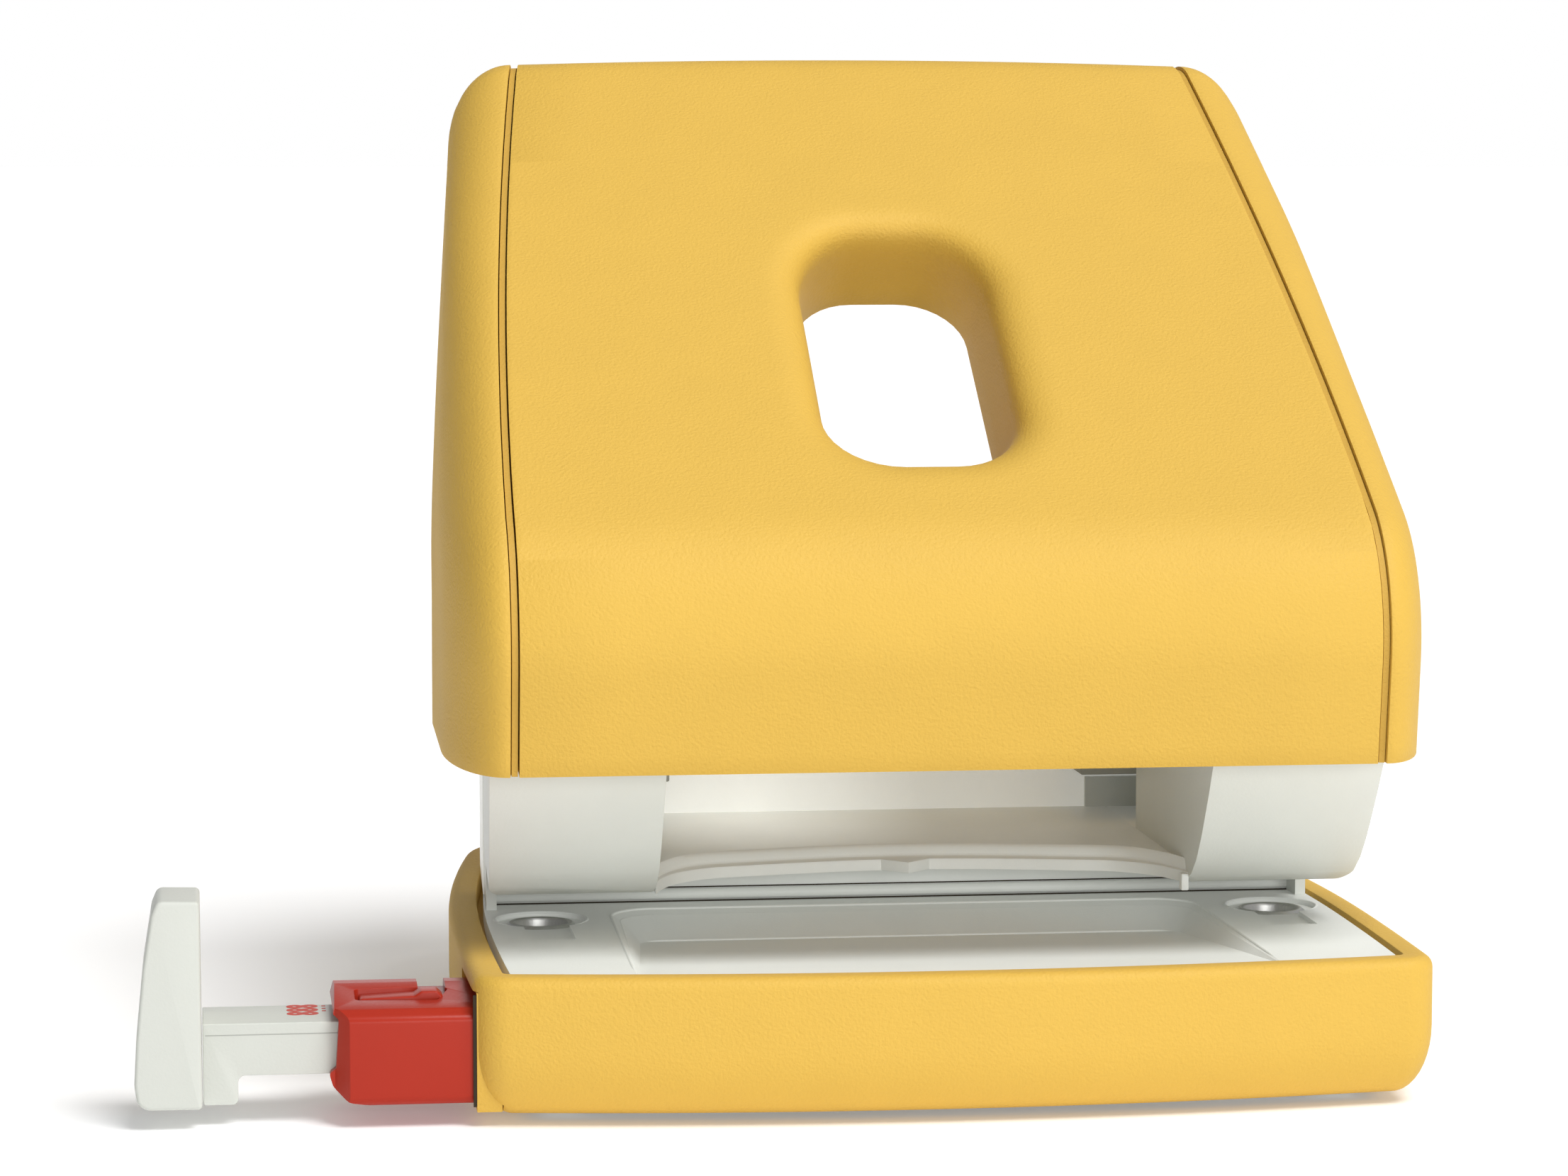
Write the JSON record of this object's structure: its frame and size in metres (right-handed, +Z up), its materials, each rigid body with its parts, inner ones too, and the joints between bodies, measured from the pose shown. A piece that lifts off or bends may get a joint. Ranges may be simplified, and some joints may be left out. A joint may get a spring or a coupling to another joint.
{
  "type": "hole punch",
  "caption": "Two-hole paper punch with a leaning lever handle pierced by a finger hole, a sliding paper guide with a red lock, and a hinged chip tray.",
  "frame": {"origin": "on the desk, below the point midway between the two punch centres, on the grip mat's flat underside", "axes": "+X along the paper's edge, to the right of a user who faces the slot; +Y away from the user; +Z up"},
  "size_m": [0.1344, 0.1026, 0.1079],
  "materials": {
    "yellow_shell": "fine-textured matt paint",
    "grey_plastic": "satin moulded plastic",
    "red_plastic": "glossy moulded plastic",
    "steel": "ground steel",
    "spring_steel": "drawn wire",
    "grip": "matt rubber"
  },
  "bodies": {
    "base": {"base_shell": "yellow_shell", "port_bezel": "yellow_shell", "base_plate": "grey_plastic", "die_left": "steel", "die_right": "steel", "tower_left": "grey_plastic", "tower_right": "grey_plastic", "pin_guide_left": "steel", "pin_guide_right": "steel", "frame_cheek_left": "steel", "frame_cheek_right": "steel", "paper_shelf": "grey_plastic", "rear_housing": "grey_plastic", "paper_stop_rail": "grey_plastic", "pivot_axle": "steel", "axle_clips": "steel", "frame_screws": "steel", "guide_lock": "red_plastic", "detent_spring": "spring_steel", "tray_hinge_pin": "steel", "return_spring_left": "spring_steel", "return_spring_right": "spring_steel"},
    "handle": {"handle_panel": "yellow_shell", "handle_back_cover": "yellow_shell", "seam_strip_left": "yellow_shell", "seam_strip_right": "yellow_shell", "handle_left_cover": "yellow_shell", "handle_right_cover": "yellow_shell", "lever_arm_left": "steel", "lever_arm_right": "steel", "lever_crossbar": "steel", "lever_rivets": "steel"},
    "pin_left": {"punch_pin_left": "steel", "pin_collar_left": "steel"},
    "pin_right": {"punch_pin_right": "steel", "pin_collar_right": "steel"},
    "guide": {"guide_bar": "grey_plastic", "end_stop": "grey_plastic"},
    "lock_tab": {"release_tab": "red_plastic"},
    "tray": {"chip_tray": "grey_plastic", "grip_mat": "grip"}
  },
  "joints": [
    {"name": "handle_press", "type": "hinge", "parent": "base", "child": "handle", "pos_m": [0, -0.017, 0.045], "axis": [-1, 0, 0], "range_deg": [0, 25], "stiffness_Nm_per_rad": 1.2, "springref_deg": -20.05},
    {"name": "pin_left", "type": "slide", "parent": "base", "child": "pin_left", "axis": [0, 0, -1], "range_m": [0, 0.0076], "deforming": ["return_spring_left"]},
    {"name": "pin_right", "type": "slide", "parent": "base", "child": "pin_right", "axis": [0, 0, -1], "range_m": [0, 0.0076], "deforming": ["return_spring_right"]},
    {"name": "guide_slide", "type": "slide", "parent": "base", "child": "guide", "axis": [-1, 0, 0], "range_m": [-0.0077, 0.0723]},
    {"name": "tab_press", "type": "slide", "parent": "base", "child": "lock_tab", "axis": [0, 0, -1], "range_m": [0, 0.0008], "stiffness_N_per_m": 300, "springref_m": -0.0005},
    {"name": "tray_hinge", "type": "hinge", "parent": "base", "child": "tray", "pos_m": [0, 0.0526, 0.0034], "axis": [1, 0, 0], "range_deg": [0, 80]}
  ],
  "couplings": [
    {"joint": "pin_left", "follows": "handle_press", "m_per_rad": 0.0172},
    {"joint": "pin_right", "follows": "handle_press", "m_per_rad": 0.0172}
  ]
}
